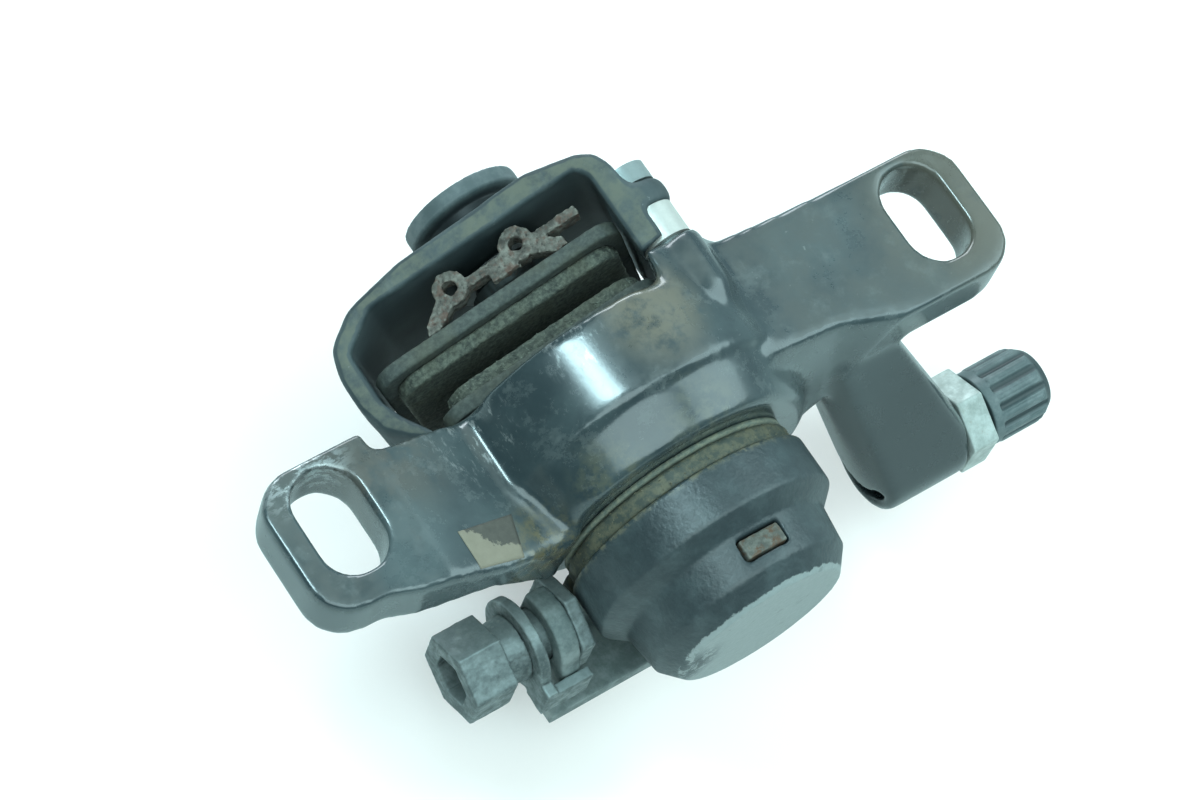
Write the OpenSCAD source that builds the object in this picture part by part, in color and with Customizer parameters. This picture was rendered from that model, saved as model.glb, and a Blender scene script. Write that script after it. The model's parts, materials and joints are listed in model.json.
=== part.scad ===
// Cable-pulled disc brake caliper for a two-bolt post mount.
// Origin: midway between the two slots, on the ears' mounting face.
// +X towards the cable stop, +Y inboard towards the wheel, +Z out along the bolts.

/* [Mounting ears] */
// Distance between the two bolt slots
slot_spacing = 74.2; // [73:0.1:76]
// Width of each bolt slot
slot_width = 7.2; // [6.6:0.1:8]
// End-to-end length of each bolt slot
slot_length = 12; // [10:0.1:14]
// Thickness of the ears
ear_thickness = 6.8; // [6:0.1:8]
// From a slot's centre to the end of its ear
ear_end = 6.7; // [6:0.1:8]
// From a slot's centre to the inboard edge of its ear
ear_inboard = 7.3; // [6.8:0.1:7.6]
// From a slot's centre to the outboard edge of its ear
ear_outboard = 9.2; // [8.8:0.1:10]
// Radius of the ears' corners
ear_corner = 4.6; // [3:0.1:5.5]

/* [Housing] */
// Sideways place of the actuator axis
axis_x = -0.5; // [-2:0.1:2]
// Height of the actuator axis
axis_z = -5.8; // [-7:0.1:-4.5]
// Turn of the pads and bracket against the ears
tilt = 22; // [18:0.5:26]
// Radius of the round body over the actuator
bulge_r = 19.5; // [18.5:0.1:20.5]
// Inboard face of the round body
bulge_in = 5.1; // [4.6:0.1:5.3]
// Length of the round body
bulge_len = 10; // [9:0.1:11]
// Radius of the tapered nose where it starts
nose_r = 18.8; // [18:0.1:19.2]
// Radius of the tapered nose at its end
nose_end_r = 17; // [16:0.1:17.6]
// Length of the tapered nose
nose_len = 5.8; // [5:0.1:6.5]

/* [Ball ramp] */
// Radius of the actuator bore
bore_r = 11.3; // [10.8:0.1:11.8]
// Thickness of the wall at the outboard end of the bore
end_wall = 2.7; // [2.2:0.1:3.4]
// Thickness of the thrust washer
thrust_t = 0.8; // [0.6:0.1:1]
// Thickness of the two cam plates
cam_t = 2.6; // [2.3:0.1:2.8]
// Radius of the ramp balls
ball_r = 2; // [1.8:0.05:2.1]
// Number of ramp balls
ball_count = 3; // [3:1:4]
// Radius of the circle of balls
ball_circle = 7.2; // [6.8:0.1:7.4]
// Free gap between the two cam plates at rest
cam_gap = 1.4; // [1.2:0.1:1.6]
// Travel of the moving pad
pad_travel = 0.9; // [0.6:0.1:1]
// Turn of the lever over that travel
lever_turn = 55; // [45:1:60]
// Radius of the spindle in its bush
spindle_r = 5; // [4.5:0.1:5.2]

/* [Pads] */
// Width of a brake pad
pad_w = 30; // [28:0.1:30.4]
// Height of a brake pad
pad_h = 25.5; // [23:0.1:26]
// Sideways place of the pads from the actuator axis
pad_shift = -4.2; // [-4.6:0.1:-3.8]
// Radial height of the pads' outer edge from the actuator axis
pad_top = 12.5; // [11.5:0.1:13]
// Thickness of a pad's backing plate
backing_t = 1.7; // [1.4:0.1:1.8]
// Thickness of a pad's lining
lining_t = 1.7; // [1.2:0.1:1.8]
// Inset of the lining from the backing plate's edge
lining_inset = 1.4; // [1:0.1:2]
// Corner radius of a pad
pad_corner = 3; // [2:0.1:4]
// Gap between the two linings at rest
rotor_gap = 2.5; // [2.4:0.1:3]
// Radius of the rotor that runs between the pads
rotor_r = 80; // [70:1:90]
// Height of the rotor's edge from the actuator axis
rotor_edge = 9; // [8:0.1:9.5]

/* [Inner bracket] */
// Wall of the inner bracket
bracket_wall = 2.4; // [2.2:0.1:2.6]
// Back wall of the inner bracket
bracket_back = 3.1; // [2.8:0.1:3.4]
// Depth of the space behind the fixed pad
bracket_room = 5.9; // [5.6:0.1:6.4]
// Radial height of the bracket's rim from the actuator axis
rim_top = 13.5; // [13:0.1:14]
// Radial depth of the bracket below the actuator axis
rim_bottom = 12; // [10:0.1:13]
// Radius of the bracket bolt
bracket_bolt_r = 2; // [1.8:0.1:2.2]

/* [Pad adjuster] */
// Radius of the adjuster knob
knob_r = 6.9; // [6.2:0.1:7.4]
// Thickness of the adjuster knob
knob_t = 3.8; // [3:0.1:4.5]
// Sideways place of the adjuster from the actuator axis
adjuster_x = -1.2; // [-2:0.1:1]
// Radius of the adjuster's shaft
adjuster_r = 4; // [3.6:0.1:4.4]
// Radius of the adjuster's thread
adjuster_thread_r = 3; // [2.6:0.1:3.2]

/* [Cap] */
// Radius of the cap's lower ring
cap_r = 14.4; // [14:0.1:14.8]
// Length of the cap's lower ring
cap_ring_len = 5.3; // [5:0.1:5.8]
// Radius of the cap's upper part
cap_top_r = 12.3; // [12:0.1:12.6]
// Whole length of the cap
cap_len = 14; // [13.6:0.1:14.8]
// Radius of the flat end of the cap
cap_face_r = 9.8; // [9:0.1:10.6]
// Wall of the cap
cap_wall = 1.5; // [1.2:0.1:1.7]
// Width of a cap window
window_w = 5.4; // [4.6:0.1:6]
// Height of a cap window
window_h = 2.6; // [2.2:0.1:3]

/* [Lever] */
// Thickness of the lever's hub plate
lever_t = 2.1; // [1.8:0.1:2.4]
// Thickness of the lever's cable track
track_t = 2.5; // [2:0.1:3]
// Room for the cable between the cap and the track
cable_room = 1.9; // [1.7:0.1:2.4]
// Reach of the track under the cap
track_reach = 7.8; // [7:0.1:8.6]
// From the actuator axis to the lever's flange
flange_x = 18.7; // [18.2:0.1:19.2]
// Height of the anchor bolt below the actuator axis
anchor_drop = 7.2; // [6.8:0.1:8]
// Distance of the anchor bolt from the lever's plate
anchor_out = 1.3; // [1:0.1:1.8]
// Radius of the anchor bolt's shank
anchor_r = 2.9; // [2.5:0.1:3]
// Width across flats of the anchor bolt's head
anchor_af = 9; // [8:0.1:10]

/* [Cable stop] */
// Sideways place of the stop's outer face
stop_x = 38.3; // [37.5:0.1:39]
// Width of the stop
stop_w = 10.8; // [10:0.1:11.5]
// Radius of the stop's round end
stop_r = 5.2; // [4.8:0.1:5.5]
// Outboard place of the barrel adjuster
barrel_y = -14.7; // [-15.2:0.1:-14.2]
// Height of the barrel adjuster
barrel_z = -21.3; // [-22:0.1:-20.5]
// Radius of the barrel's thread
barrel_r = 3; // [2.6:0.1:3.2]
// Radius of the barrel's knob
barrel_knob_r = 4.5; // [4.2:0.1:5]
// Length of the barrel's knob
barrel_knob_len = 8.6; // [8:0.1:10]
// Travel of the barrel adjuster
barrel_travel = 3; // [2:0.1:4]
// Radius of the seat for the cable housing
ferrule_r = 2.5; // [2.2:0.1:2.6]

/* [Fits] */
// Radial clearance of a running fit
run_fit = 0.06; // [0.02:0.01:0.1]
// Gap between pieces that seat on each other
seat_gap = 0.05; // [0.02:0.01:0.1]
// Gap between pieces that move past each other
move_gap = 0.4; // [0.3:0.05:0.6]

/* [Hidden] */
$fn = 64;

steel = [0.55, 0.57, 0.58];
black = [0.10, 0.12, 0.14];
plastic = [0.16, 0.18, 0.20];
rubber = [0.06, 0.06, 0.06];
rust = [0.35, 0.24, 0.20];
zinc = [0.66, 0.68, 0.68];
friction = [0.36, 0.37, 0.32];
bronze = [0.6, 0.45, 0.2];

eps = 0.01;
far = 60;
slot_x = slot_spacing / 2;
ear_root = 7;

// Places along the actuator axis, from the inboard face of the body outwards
bulge_out = bulge_in - bulge_len;
nose_end = bulge_out - nose_len;
wall_in = nose_end + end_wall;
cam_back = wall_in + thrust_t;
cam_face = cam_back + cam_t;
ramp_face = cam_face + cam_gap;
ball_y = (cam_face + ramp_face) / 2;
ramp_back = ramp_face + cam_t;
ramp_rise = pad_travel / lever_turn;
bush_r = 1.3 * spindle_r;
key_w = 3;
key_h = 0.8;
key_slack = 0.3;
seal_wire = 0.58;
groove_w = 1.8;
seal_y = ramp_back + 2 * groove_w;

// Places of the pads across the rotor
moving_y = bulge_in + move_gap;
moving_lining_y = moving_y + backing_t;
fixed_lining_y = moving_lining_y + lining_t + rotor_gap;
fixed_y = fixed_lining_y + lining_t;
fixed_back_y = fixed_y + backing_t;
rotor_y = fixed_lining_y - rotor_gap / 2;
rotor_slot = rotor_gap + 0.6;
pad_left = pad_shift - pad_w / 2;
pad_right = pad_shift + pad_w / 2;

// Places of the inner bracket
room_left = pad_left - move_gap;
room_right = pad_right + move_gap;
back_in = fixed_back_y + bracket_room;
back_out = back_in + bracket_back;
knob_gap = 1.6;
key_af = 5;
anvil_r = 2 * adjuster_r;
anvil_t = 1.5;
anvil_wall = 1.8;
anvil_gap = 2;
lug_end = moving_lining_y + lining_t + 0.2;
right_wall = bracket_wall + 0.8;
spacer_r = bracket_bolt_r + 0.7;
bolt_x = room_right + spacer_r + 0.3;
bolt_z = rotor_edge + 1.1;
boss_r = spacer_r + 0.6;
boss_y = fixed_y;
bolt_end = bulge_in - 3.2;
boss_t = 3;
tenon_deep = 2.6;
tenon_x = room_left + 1.2;
pin_r = bracket_wall / 3;
pin_len = 1.2 * rim_top;
moving_left = tenon_x + bracket_wall + move_gap;
waist_front = -6.9;

// Places of the lever, cap and cable
seal_t = 0.4;
lever_in = nose_end - seal_t - 0.35;
lever_out = lever_in - lever_t;
cap_start = lever_out - seat_gap;
cap_end = cap_start - cap_len;
shoulder_end = cap_start - cap_ring_len - 1.9;
hub_r = cap_r - 0.7;
drive_af = 1.4 * spindle_r;
stud_r = 3;
nut_t = 4;
nut_af = 2 * spindle_r;
retainer_r = cap_top_r - cap_wall - 0.6;
retainer_t = 0.9;
spring_wire = 0.75;
spring_mean = (nut_af / 2 / cos(30) + retainer_r - retainer_t) / 2;
spring_pitch = 2.1;
track_top = cap_r + cable_room;
track_low = track_top + track_t;
anchor_y = lever_out - anchor_out;
window_y = shoulder_end - window_h / 2 - 0.5;
windows = [1, 181];
relief_r = hub_r - 0.6;

// Stack of the anchor hardware along the bolt, measured from the flange's outer face
flange_t = 2.4;
cable_slit = 1.5;
washer_t = 1.3;
washer_r = 2 * anchor_r - 0.5;
collar_t = 2.5;
collar_r = anchor_r + 0.9;
head_t = 5.2;
anchor_nut_t = 1.7;
anchor_nut_af = 9.4;
tab_out = track_reach - anchor_out + 0.3;
tab_drop = 4.6;
tab_len = 4.6;
tab_t = 1.2;
tab_h = 5;

// Stack of the barrel adjuster, measured from the stop's outer face
lock_nut_t = 3.6;
lock_nut_af = 10;
barrel_neck = 0.6;
ferrule_deep = 5;
cable_r = 1.1;

// A round bar along Y
module rod(y0, y1, r) {
    translate([0, y0, 0]) rotate([-90, 0, 0]) cylinder(h = y1 - y0, r = r);
}

// A round taper along Y
module taper(y0, y1, r0, r1) {
    translate([0, y0, 0]) rotate([-90, 0, 0]) cylinder(h = y1 - y0, r1 = r0, r2 = r1);
}

// A ring along Y
module ring(y0, y1, outer, inner) {
    difference() {
        rod(y0, y1, outer);
        rod(y0 - 1, y1 + 1, inner);
    }
}

// A round bar along X
module xrod(x0, x1, r) {
    translate([x0, 0, 0]) rotate([0, 90, 0]) cylinder(h = x1 - x0, r = r);
}

// A hexagon bar along X
module xhex(x0, x1, af) {
    translate([x0, 0, 0]) rotate([0, 90, 0]) cylinder(h = x1 - x0, d = af / cos(30), $fn = 6);
}

// An outline in X and Z, pushed along Y
module along_y(y0, y1) {
    translate([0, y1, 0]) rotate([90, 0, 0]) linear_extrude(y1 - y0) children();
}

// A round profile about the Y axis, drawn as radius and distance along -Y
module turned() {
    rotate([90, 0, 0]) rotate_extrude() children();
}

// The frame of the actuator axis
module at_axis() {
    translate([axis_x, 0, axis_z]) children();
}

// The frame of the pads: X along the rotor's edge, Z away from the wheel's axle
module at_pads() {
    at_axis() rotate([0, -tilt, 0]) children();
}

// A rectangle with round corners, made of squares and circles
module round_rect(w, h, r) {
    square([w - 2 * r, h], center = true);
    square([w, h - 2 * r], center = true);
    for (sx = [-1, 1], sy = [-1, 1])
        translate([sx * (w / 2 - r), sy * (h / 2 - r)]) circle(r);
}

// One ear, seen from the bolt side, pointing along +X from its slot
module ear_outline() {
    span = ear_inboard + ear_outboard;
    translate([-ear_root, -ear_outboard]) square([ear_root + ear_end - ear_corner, span]);
    translate([-ear_root, -ear_outboard + ear_corner])
        square([ear_root + ear_end, span - 2 * ear_corner]);
    for (y = [-ear_outboard + ear_corner, ear_inboard - ear_corner])
        translate([ear_end - ear_corner, y]) circle(ear_corner);
}

module slot_cut() {
    run = slot_length - slot_width;
    translate([0, 0, -1]) linear_extrude(ear_thickness + 2) {
        square([slot_width, run], center = true);
        for (s = [-1, 1]) translate([0, s * run / 2]) circle(d = slot_width);
    }
}

module ears() {
    for (s = [0, 1]) mirror([s, 0, 0])
        translate([slot_x, 0, 0]) linear_extrude(ear_thickness) ear_outline();
}

// The arm that falls from the left ear to the round body
module left_arm() {
    root = -slot_x + ear_root;
    drop = 5;
    flare = 2.9;
    arm_in = bulge_in - 0.2;
    intersection() {
        along_y(-far, far) polygon([
            [root - 7, 0], [root - 7, ear_thickness], [root, ear_thickness],
            [axis_x - 16, ear_thickness - drop], [axis_x, 0], [axis_x - 4, -14],
            [axis_x - 17, -6.5], [root + 5, 0.2], [root, 0]
        ]);
        translate([0, 0, -far]) linear_extrude(2 * far) polygon([
            [root - 7, -ear_outboard], [root - 3.6, -ear_outboard - 0.45 * flare],
            [root + 1, -ear_outboard - 0.72 * flare], [root + 6, -ear_outboard - flare],
            [axis_x, -ear_outboard - flare], [axis_x, arm_in], [root + 0.6, arm_in],
            [root - 1.6, ear_inboard], [root - 7, ear_inboard]
        ]);
    }
}

// A convex block through a list of corner points
module block(points) {
    hull() for (p = points) translate(p) cube(0.1, center = true);
}

// The arm that rises from the right ear to the round body, with the web below it
module right_arm() {
    root = slot_x - ear_root - 1;
    top = ear_thickness - 0.05;
    front = -ear_outboard + 0.05;
    back = ear_inboard - 0.05;
    waist = axis_x + 21;
    neck = axis_x + 9;
    block([
        [root + 1.6, front, top], [root + 1.6, back, top], [root + 1.6, front, 0.05],
        [root + 1.6, back, 0.05], [root - 1.8, front, top], [root - 1.8, back, top],
        [waist, waist_front, top + 0.9], [waist, back, top + 0.9],
        [waist, front, -6.6], [waist, back, -2]
    ]);
    block([
        [waist, waist_front, top + 0.9], [waist, back, top + 0.9],
        [waist, front, -6.6], [waist, back, -2],
        [neck + 3, waist_front + 0.2, top + 2.4], [neck + 3, back, top + 2.4],
        [neck, waist_front + 1, top + 2.6], [neck, back, top + 2.6],
        [neck + 8, front, -11.6], [neck, front, -12], [neck, back, -12], [neck + 6, back, -9]
    ]);
}

// The arm that carries the barrel adjuster
module stop_arm() {
    left = axis_x + 22;
    right = slot_x - ear_root - 1;
    hull() {
        translate([left, -ear_outboard, -8.5]) cube([right - left, 5, 8]);
        translate([0, barrel_y, barrel_z]) xrod(stop_x - stop_w, stop_x, stop_r, $fn = 32);
    }
}

// The lug beside the pads that the bracket bolt screws into
module bolt_lug() {
    at_pads() {
        intersection() {
            rod(bulge_out + 1, lug_end, bulge_r - 0.15);
            translate([room_right, bulge_out, -rim_bottom]) cube([far, far, rim_bottom + far]);
        }
        translate([bolt_x, 0, bolt_z]) {
            rod(bulge_in - 3, lug_end, boss_r);
            taper(bulge_out + 1.6, bulge_in - 3 + eps, 1, boss_r);
        }
    }
}

// Room swept by the anchor hardware at the lower left of the nose
module lever_relief() {
    at_axis() rotate([90, 0, 0]) translate([0, 0, -bulge_out + nose_len - 2.4])
        rotate([0, 0, 185]) rotate_extrude(angle = 120)
            translate([relief_r, 0]) square([far, far]);
}

module rotor_cut() {
    at_pads() translate([pad_shift, 0, rotor_edge - rotor_r])
        rod(rotor_y - rotor_slot / 2, rotor_y + rotor_slot / 2, rotor_r + 1.2, $fn = 128);
}

module keyways(slack) {
    translate([-key_w / 2 - slack, -far, -bore_r - key_h - slack])
        cube([key_w + 2 * slack, 2 * far, 2 * (bore_r + key_h + slack)]);
}

module caliper_body() {
    color(black) difference() {
        union() {
            ears();
            left_arm();
            right_arm();
            stop_arm();
            bolt_lug();
            at_axis() rod(bulge_out, bulge_in, bulge_r, $fn = 128);
            at_axis() taper(nose_end, bulge_out, nose_end_r, nose_r, $fn = 128);
        }
        for (s = [-1, 1]) translate([s * slot_x, 0, 0]) slot_cut();
        at_pads() {
            rod(wall_in, far, bore_r);
            rod(nose_end - 1, wall_in + 1, bush_r + seat_gap);
            intersection() {
                keyways(key_slack);
                rod(ramp_face - 0.6, far, bore_r + 3);
            }
            translate([bolt_x, 0, bolt_z]) rod(bolt_end - 0.4, far, bracket_bolt_r + seat_gap);
            tenon(seat_gap);
            pin_hole(0);
            translate([room_left - 0.5, bulge_in + seat_gap, -far])
                cube([room_right - room_left + 0.5, far, far + pad_top + 2]);
        }
        translate([0, barrel_y, barrel_z]) {
            xrod(stop_x - stop_w - 1, stop_x + 1, barrel_r + run_fit);
            xrod(stop_x - stop_w - 1, stop_x - stop_w + 2, barrel_r + 0.6);
        }
        at_axis() rod(-far, nose_end + seat_gap, cap_r + 2 * move_gap);
        lever_relief();
        rotor_cut();
    }
}

// The tongue of the bracket's left wall, let into the body
module tenon(slack) {
    translate([tenon_x - slack, bulge_in - tenon_deep - slack, 3 - slack])
        cube([bracket_wall + 2 * slack, tenon_deep + move_gap + 2 * slack, 7 + 2 * slack]);
}

module pin_hole(grow) {
    translate([tenon_x + bracket_wall / 2, bulge_in - tenon_deep / 2, -pin_len / 2])
        cylinder(h = pin_len, r = pin_r + grow);
}

// Outline of the bracket seen from the rim, with Y inboard
module bracket_outline() {
    w = bracket_wall;
    difference() {
        polygon([
            [tenon_x, moving_y - seat_gap], [room_left - w + 0.6, moving_y + 3],
            [room_left - w, moving_y + 6], [room_left - w, back_out - 7.4],
            [room_left - w + 1, back_out - 4.2], [room_left + 2.4, back_out - 1.6],
            [room_left + 9, back_out - 0.4], [room_right - 5.6, back_out],
            [room_right + 0.6, back_out - 1.5], [room_right + right_wall - 1, back_out - 2.6],
            [room_right + right_wall - 0.3, back_out - 4.4], [room_right + right_wall, back_out - 7],
            [room_right + right_wall, lug_end + seat_gap], [room_right - eps, lug_end + seat_gap],
            [room_right - eps, moving_y - seat_gap]
        ]);
        polygon([
            [tenon_x + w, moving_y - 1], [room_left + 1, moving_y + 3.4], [room_left, moving_y + 6],
            [room_left, back_in - 3], [room_left + 4.4, back_in], [room_right - 1, back_in],
            [room_right, back_in - 1.4], [room_right, moving_y - 1]
        ]);
    }
}

module inner_bracket() {
    color(black) difference() {
        at_pads() difference() {
            union() {
                translate([0, 0, -rim_bottom]) linear_extrude(rim_bottom + rim_top) bracket_outline();
                translate([bolt_x, 0, bolt_z]) rod(boss_y, boss_y + boss_t, boss_r);
                tenon(0);
            }
            translate([adjuster_x, 0, 0]) rod(back_in - 1, back_out + 1, adjuster_r + run_fit);
            translate([bolt_x, 0, bolt_z]) {
                rod(lug_end - 1, back_out + 1, bracket_bolt_r + seat_gap);
                rod(lug_end - 1, boss_y, spacer_r + seat_gap);
                rod(boss_y + boss_t, far, spacer_r + seat_gap);
            }
            pin_hole(0);
        }
        rotor_cut();
    }
}

module bracket_bolt() {
    head_y = boss_y + boss_t + seat_gap;
    head_t = 2.2;
    color(zinc) at_pads() translate([bolt_x, 0, bolt_z]) difference() {
        union() {
            rod(bolt_end, head_y + eps, bracket_bolt_r);
            rod(head_y, head_y + head_t, spacer_r);
        }
        translate([0, head_y + 0.8, 0]) rotate([-90, 0, 0]) cylinder(h = head_t, d = 3 / cos(30), $fn = 6);
    }
}

module bracket_spacer() {
    color(zinc) at_pads() translate([bolt_x, 0, bolt_z])
        ring(lug_end + seat_gap, boss_y - seat_gap, spacer_r, bracket_bolt_r + seat_gap);
}

module bracket_pin() {
    color(steel) at_pads() pin_hole(-seat_gap);
}

// A pad's plate or lining, from its left end to the pads' shared right end
module pad_plate(y0, y1, left, inset) {
    at_pads() along_y(y0, y1) translate([(left + pad_right) / 2, pad_top - pad_h / 2])
        round_rect(pad_right - left - 2 * inset, pad_h - 2 * inset, pad_corner);
}

module fixed_pad_backing() {
    color(friction) pad_plate(fixed_y, fixed_back_y, pad_left, 0);
}

module fixed_pad_lining() {
    color(friction) pad_plate(fixed_lining_y, fixed_y, pad_left, lining_inset);
}

module moving_pad_backing() {
    color(friction) pad_plate(moving_y, moving_lining_y, moving_left, 0);
}

module moving_pad_lining() {
    color(friction) pad_plate(moving_lining_y, moving_lining_y + lining_t, moving_left, lining_inset);
}

// A flat strip with two rolled eyes, standing behind the fixed pad
module pad_spring_clip() {
    strip = 1.1;
    eye = 1.9;
    foot = fixed_back_y;
    rise = bracket_room - eye - move_gap - 0.4;
    eyes = pad_w * [-0.24, 0.035];
    arm = 0.24 * pad_w;
    width = 2.4;
    span = eyes[1] - eyes[0];
    leg = [[-4.6, 0], [-3.2, 0], [0, rise - 1.4], [0.3, rise - 0.6], [-1.2, rise + 0.2], [-4.3, strip]];
    color(rust) at_pads() translate([0, foot, pad_top - width - 0.3]) difference() {
        union() {
            for (x = eyes) translate([x, rise, 0]) rotate([0, 0, 90]) cylinder(h = width, r = eye);
            translate([eyes[0], rise - strip, 0]) cube([span + arm, strip, width]);
            translate([eyes[0] + span / 2, rise - 2 * strip, width - strip]) cube([0.4 * span, 1.5 * strip, strip]);
            for (k = [0, 1]) translate([eyes[k], 0, 0]) mirror([k, 0, 0]) linear_extrude(width) polygon(leg);
        }
        for (x = eyes) translate([x, rise, -1]) cylinder(h = width + 2, r = eye - strip);
    }
}

// The frame of the pad adjuster
module at_adjuster() {
    at_pads() translate([adjuster_x, 0, 0]) children();
}

module adjuster_knob() {
    knob_in = back_out + knob_gap;
    color(plastic) at_adjuster() difference() {
        union() {
            rod(knob_in, knob_in + knob_t, knob_r);
            rod(back_in - 1.5, knob_in + eps, adjuster_r);
            rod(fixed_back_y + 0.6 + pad_travel, back_in, adjuster_thread_r);
        }
        ring(back_in - 0.95, back_in - 0.3, far, adjuster_r - 0.7);
        translate([0, knob_in + knob_t - 2, 0]) rotate([-90, 0, 0])
            cylinder(h = knob_t, d = key_af / cos(30), $fn = 6);
    }
}

module adjuster_ring() {
    bead = (knob_gap - seat_gap - 0.35) / 2;
    color(rubber) at_adjuster() translate([0, back_out + knob_gap - seat_gap - bead, 0]) turned()
        translate([adjuster_r + 0.1 + bead, 0]) circle(bead, $fn = 32);
}

module adjuster_clip() {
    color(steel) at_adjuster() difference() {
        ring(back_in - 0.88, back_in - 0.36, adjuster_r + 1.6, adjuster_r - 0.7 + run_fit);
        translate([-1.6, back_in - 2, -far]) cube([3.2, 4, far]);
    }
}

module adjuster_anvil() {
    color(steel) at_adjuster() difference() {
        union() {
            rod(fixed_back_y, fixed_back_y + anvil_t, anvil_r);
            rod(fixed_back_y + anvil_t - 0.1, back_in - anvil_gap, adjuster_thread_r + anvil_wall);
        }
        rod(fixed_back_y - 1, back_in, adjuster_thread_r + run_fit);
    }
}

// The lever's hub plate with its drive hole, track and anchor flange
module lever_arm() {
    far_x = -flange_x;
    near_x = far_x + flange_t;
    color(steel) at_axis() difference() {
        union() {
            rod(lever_out, lever_in, hub_r);
            along_y(lever_out, lever_in) polygon([
                [far_x, -track_low], [3, -track_low], [8, -hub_r + 4], [-hub_r + 2, -4],
                [far_x, -anchor_drop - 2]
            ]);
            translate([far_x, lever_out - track_reach, -track_low])
                cube([flange_x + 3, track_reach + eps, track_t]);
            translate([far_x, lever_out - track_reach + 1, -track_low])
                cube([flange_t, track_reach - 1 + eps, track_low - anchor_drop]);
            translate([0, anchor_y, -anchor_drop]) xrod(far_x, near_x, 5);
        }
        rotate([0, 20, 0]) translate([-drive_af / 2, lever_out - 1, -drive_af / 2])
            cube([drive_af, lever_t + 2, drive_af]);
        translate([0, anchor_y, -anchor_drop]) {
            xrod(far_x - 1, near_x + 1, anchor_r + seat_gap);
            xrod(near_x, near_x + anchor_nut_t + 1.4, anchor_nut_af / 2 / cos(30) + 0.3);
        }
        translate([far_x - far, lever_in, -far]) cube([2 * far, far, 2 * far]);
    }
}

// Ball seats that get shallower along the turn of the lever
module ball_tracks(y) {
    steps = 11;
    for (i = [0 : ball_count - 1], k = [0 : steps])
        rotate([0, -i * 360 / ball_count - k * lever_turn / steps, 0])
            translate([ball_circle, y - ramp_rise * lever_turn * k / steps, 0])
                sphere(ball_r + 0.08, $fn = 48);
}

module spindle() {
    color(steel) at_axis() difference() {
        union() {
            rod(cam_back + seat_gap, cam_face, bore_r - 0.5);
            rod(lever_in + 0.4, cam_back + 1, spindle_r);
            rotate([0, 20, 0])
                translate([-drive_af / 2 + seat_gap, lever_out + 0.2, -drive_af / 2 + seat_gap])
                cube([drive_af - 2 * seat_gap, lever_in - lever_out + 0.4, drive_af - 2 * seat_gap]);
            rod(lever_out - nut_t - 1.2, lever_out + 1, stud_r);
        }
        for (i = [0 : ball_count - 1]) rotate([0, -i * 360 / ball_count, 0])
            translate([ball_circle, ball_y, 0]) sphere(ball_r + 0.05, $fn = 48);
    }
}

module spindle_bush() {
    color(bronze) at_axis()
        ring(nose_end + 0.1, wall_in - 0.1, bush_r, spindle_r + run_fit);
}

module spindle_nut() {
    color(zinc) at_axis() difference() {
        translate([0, lever_out - nut_t - seat_gap, 0]) rotate([-90, 0, 0])
            cylinder(h = nut_t, d = nut_af / cos(30), $fn = 6);
        rod(-far, far, stud_r + seat_gap);
    }
}

module thrust_washer() {
    color(bronze) at_axis()
        ring(wall_in + seat_gap, cam_back - seat_gap, bore_r - 0.4, spindle_r + 0.4);
}

module ramp_balls() {
    color(steel) at_axis() for (i = [0 : ball_count - 1])
        rotate([0, -i * 360 / ball_count, 0]) translate([ball_circle, ball_y, 0]) sphere(ball_r, $fn = 48);
}

module ball_cage() {
    half = cam_gap / 2 - 0.36;
    color(bronze) at_axis() difference() {
        ring(ball_y - half, ball_y + half, bore_r - 0.8, ball_circle - ball_r - 1.2);
        for (i = [0 : ball_count - 1]) rotate([0, -i * 360 / ball_count, 0])
            translate([ball_circle, 0, 0]) rod(-far, far, ball_r + 0.06);
    }
}

module ramp_plate() {
    color(steel) difference() {
        at_pads() union() {
            rod(ramp_face, ramp_back, bore_r - 0.2);
            intersection() {
                keyways(0);
                rod(ramp_face, ramp_back, bore_r + key_h);
            }
        }
        at_axis() ball_tracks(ball_y);
    }
}

module pusher_piston() {
    color(zinc) at_pads() difference() {
        rod(ramp_back, moving_y, bore_r - 0.1);
        ring(seal_y - groove_w / 2, seal_y + groove_w / 2, far, bore_r - 2 * seal_wire - 0.14);
        rod(ramp_back + 2, moving_y + 1, bore_r - 3.5);
    }
}

module piston_seal() {
    color(rubber) at_pads() translate([0, seal_y, 0]) turned()
        translate([bore_r - seal_wire - 0.12, 0]) circle(seal_wire, $fn = 32);
}

module dust_seal() {
    color(rubber) at_axis() ring(lever_in + 0.35, nose_end - seat_gap, relief_r - 0.3, spindle_r + 2);
}

// The hidden return spring: one tube along a helix, with straight ends
spring_turns = 3;
spring_start = lever_out - seat_gap - spring_wire - 0.1;
spring_steps = 8;
spring_rings = spring_turns * spring_steps;
function spring_point(k) =
    let (a = 360 * k / spring_steps)
    [spring_mean * cos(a), spring_start - spring_pitch * k / spring_steps, spring_mean * sin(a)];
function ring_points(c, a, sides) =
    [for (j = [0 : sides - 1]) let (b = 360 * j / sides)
        c + spring_wire * [cos(b) * cos(a), sin(b), cos(b) * sin(a)]];
spring_gap = min([for (k = [0 : spring_rings - spring_steps])
    norm(spring_point(k) - spring_point(k + spring_steps)) - 2 * spring_wire]);
echo(spring_gap = spring_gap);

module return_spring() {
    sides = 6;
    tube = [for (k = [0 : spring_rings])
        each ring_points(spring_point(k), 360 * k / spring_steps, sides)];
    walls = [for (k = [0 : spring_rings - 1], j = [0 : sides - 1])
        let (a = k * sides + j, b = k * sides + (j + 1) % sides)
        each [[a, b, a + sides], [b, b + sides, a + sides]]];
    ends = [for (j = [1 : sides - 2]) each [[0, j + 1, j],
        [spring_rings * sides, spring_rings * sides + j, spring_rings * sides + j + 1]]];
    color(steel) at_axis() polyhedron(points = tube, faces = concat(walls, ends));
}

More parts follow.
